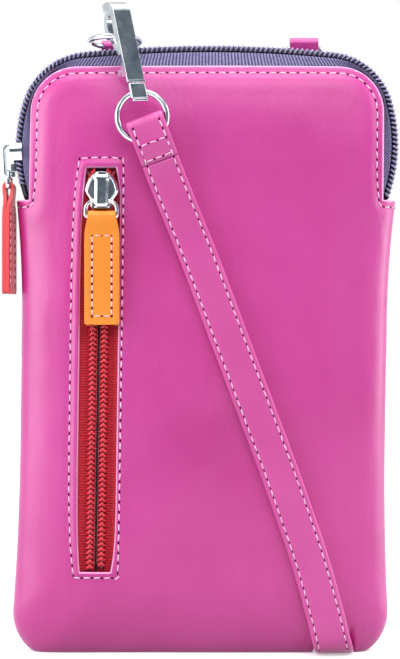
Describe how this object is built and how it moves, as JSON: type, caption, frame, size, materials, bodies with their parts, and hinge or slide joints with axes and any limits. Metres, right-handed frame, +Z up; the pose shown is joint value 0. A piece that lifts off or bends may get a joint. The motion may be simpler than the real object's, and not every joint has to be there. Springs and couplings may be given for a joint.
{
  "type": "phone pouch",
  "caption": "Flat upright leather phone pouch with a zip round its top, a zipped front pocket and a shoulder strap clipped on by trigger hooks.",
  "frame": {"origin": "middle of the pouch's flat base, on the floor it stands on", "axes": "+X to the right seen from the front, +Y from the front to the back, +Z up"},
  "size_m": [0.1187, 0.1038, 0.1921],
  "materials": {
    "leather_pink": "matte",
    "leather_strap": "matte",
    "leather_orange": "matte",
    "leather_coral": "matte",
    "lining_cloth": "matte",
    "tape_navy": "matte",
    "tape_red": "matte",
    "coil_navy": "satin",
    "coil_red": "satin",
    "nickel": "polished"
  },
  "bodies": {
    "pouch": {"front_panel": "leather_pink", "back_panel": "leather_pink", "lining_front": "lining_cloth", "lining_back": "lining_cloth", "pocket_lining": "lining_cloth", "zip_tape_front": "tape_navy", "zip_tape_back": "tape_navy", "zip_coil_front": "coil_navy", "zip_coil_back": "coil_navy", "pocket_tape_left": "tape_red", "pocket_tape_right": "tape_red", "pocket_coil_left": "coil_red", "pocket_coil_right": "coil_red", "ring_tab_left": "leather_pink", "ring_tab_right": "leather_pink", "strap_end_left": "leather_strap", "strap_end_right": "leather_strap", "strap_front_run": "leather_strap", "strap_roll": "leather_strap", "strap_back_run": "leather_strap"},
    "main_slider_body": {"main_slider": "nickel", "main_slider_crown": "nickel"},
    "main_link": {"main_pull_link": "nickel"},
    "main_tab": {"main_pull_tab": "leather_coral"},
    "pocket_slider_body": {"pocket_slider": "nickel", "pocket_slider_crown": "nickel"},
    "pocket_link": {"pocket_pull_link": "nickel"},
    "pocket_tab": {"pocket_pull_tab": "leather_orange"},
    "ring_left": {"tab_ring_left": "nickel"},
    "ring_right": {"tab_ring_right": "nickel"},
    "strap_ring_left_body": {"strap_ring_left": "nickel"},
    "strap_ring_right_body": {"strap_ring_right": "nickel"},
    "eye_left": {"hook_eye_left": "nickel"},
    "eye_right": {"hook_eye_right": "nickel"},
    "hook_left_body": {"hook_left": "nickel", "hook_gate_pin_left": "nickel"},
    "hook_right_body": {"hook_right": "nickel", "hook_gate_pin_right": "nickel"},
    "gate_left": {"hook_gate_left": "nickel"},
    "gate_right": {"hook_gate_right": "nickel"}
  },
  "joints": [
    {"name": "main_slider_run", "type": "hinge", "parent": "pouch", "child": "main_slider_body", "pos_m": [-0.00893, 0, 0.15034], "axis": [0, 1, 0], "range_deg": [0, 10]},
    {"name": "main_link_hinge", "type": "hinge", "parent": "main_slider_body", "child": "main_link", "pos_m": [-0.05779, 0, 0.14339], "axis": [0, 1, 0], "range_deg": [0, 100]},
    {"name": "main_tab_hinge", "type": "hinge", "parent": "main_link", "child": "main_tab", "pos_m": [-0.05779, 0, 0.13878], "axis": [0, 1, 0], "range_deg": [0, 60]},
    {"name": "pocket_slider_run", "type": "slide", "parent": "pouch", "child": "pocket_slider_body", "axis": [0.014, 0, 0.9999], "range_m": [-0.1, 0]},
    {"name": "pocket_link_hinge", "type": "hinge", "parent": "pocket_slider_body", "child": "pocket_link", "pos_m": [-0.0295, -0.01232, 0.134], "axis": [-1, 0, 0], "range_deg": [0, 120]},
    {"name": "pocket_tab_hinge", "type": "hinge", "parent": "pocket_link", "child": "pocket_tab", "pos_m": [-0.02956, -0.01232, 0.1294], "axis": [-1, 0, 0], "range_deg": [0, 50]},
    {"name": "ring_left_tip", "type": "hinge", "parent": "pouch", "child": "ring_left", "pos_m": [-0.026, 0.0047, 0.1817], "axis": [-1, 0, 0], "range_deg": [0, 2]},
    {"name": "ring_right_tip", "type": "hinge", "parent": "pouch", "child": "ring_right", "pos_m": [0.031, 0.0076, 0.183], "axis": [-1, 0, 0], "range_deg": [-1, 0.7]},
    {"name": "strap_ring_left_tip", "type": "hinge", "parent": "pouch", "child": "strap_ring_left_body", "pos_m": [-0.01634, -0.0149, 0.15626], "axis": [0.9336, 0, 0.3584], "range_deg": [-1, 1]},
    {"name": "strap_ring_right_tip", "type": "hinge", "parent": "pouch", "child": "strap_ring_right_body", "pos_m": [0.031, 0.021, 0.1368], "axis": [1, 0, 0], "range_deg": [-0.6, 1]},
    {"name": "eye_left_tip", "type": "hinge", "parent": "strap_ring_left_body", "child": "eye_left", "pos_m": [-0.01896, -0.0149, 0.1655], "axis": [0.9796, 0, 0.2011], "range_deg": [-1, 1]},
    {"name": "eye_right_tip", "type": "hinge", "parent": "strap_ring_right_body", "child": "eye_right", "pos_m": [0.031, 0.021, 0.14785], "axis": [1, 0, 0], "range_deg": [-0.6, 1]},
    {"name": "swivel_left", "type": "hinge", "parent": "eye_left", "child": "hook_left_body", "pos_m": [-0.01958, -0.0144, 0.16854], "axis": [-0.198, 0.1736, 0.9647], "range_deg": [-4, 4]},
    {"name": "swivel_right", "type": "hinge", "parent": "eye_right", "child": "hook_right_body", "pos_m": [0.031, 0.021, 0.151], "axis": [0, 0, 1], "range_deg": [-3, 3]},
    {"name": "gate_left_hinge", "type": "hinge", "parent": "hook_left_body", "child": "gate_left", "pos_m": [-0.0215, -0.01204, 0.17415], "axis": [0.8658, 0.4924, 0.0891], "range_deg": [0, 7.5], "stiffness_Nm_per_rad": 0.004, "springref_deg": -9.74},
    {"name": "gate_right_hinge", "type": "hinge", "parent": "hook_right_body", "child": "gate_right", "pos_m": [0.031, 0.0195, 0.1572], "axis": [-1, 0, 0], "range_deg": [0, 26], "stiffness_Nm_per_rad": 0.004, "springref_deg": -9.74}
  ]
}
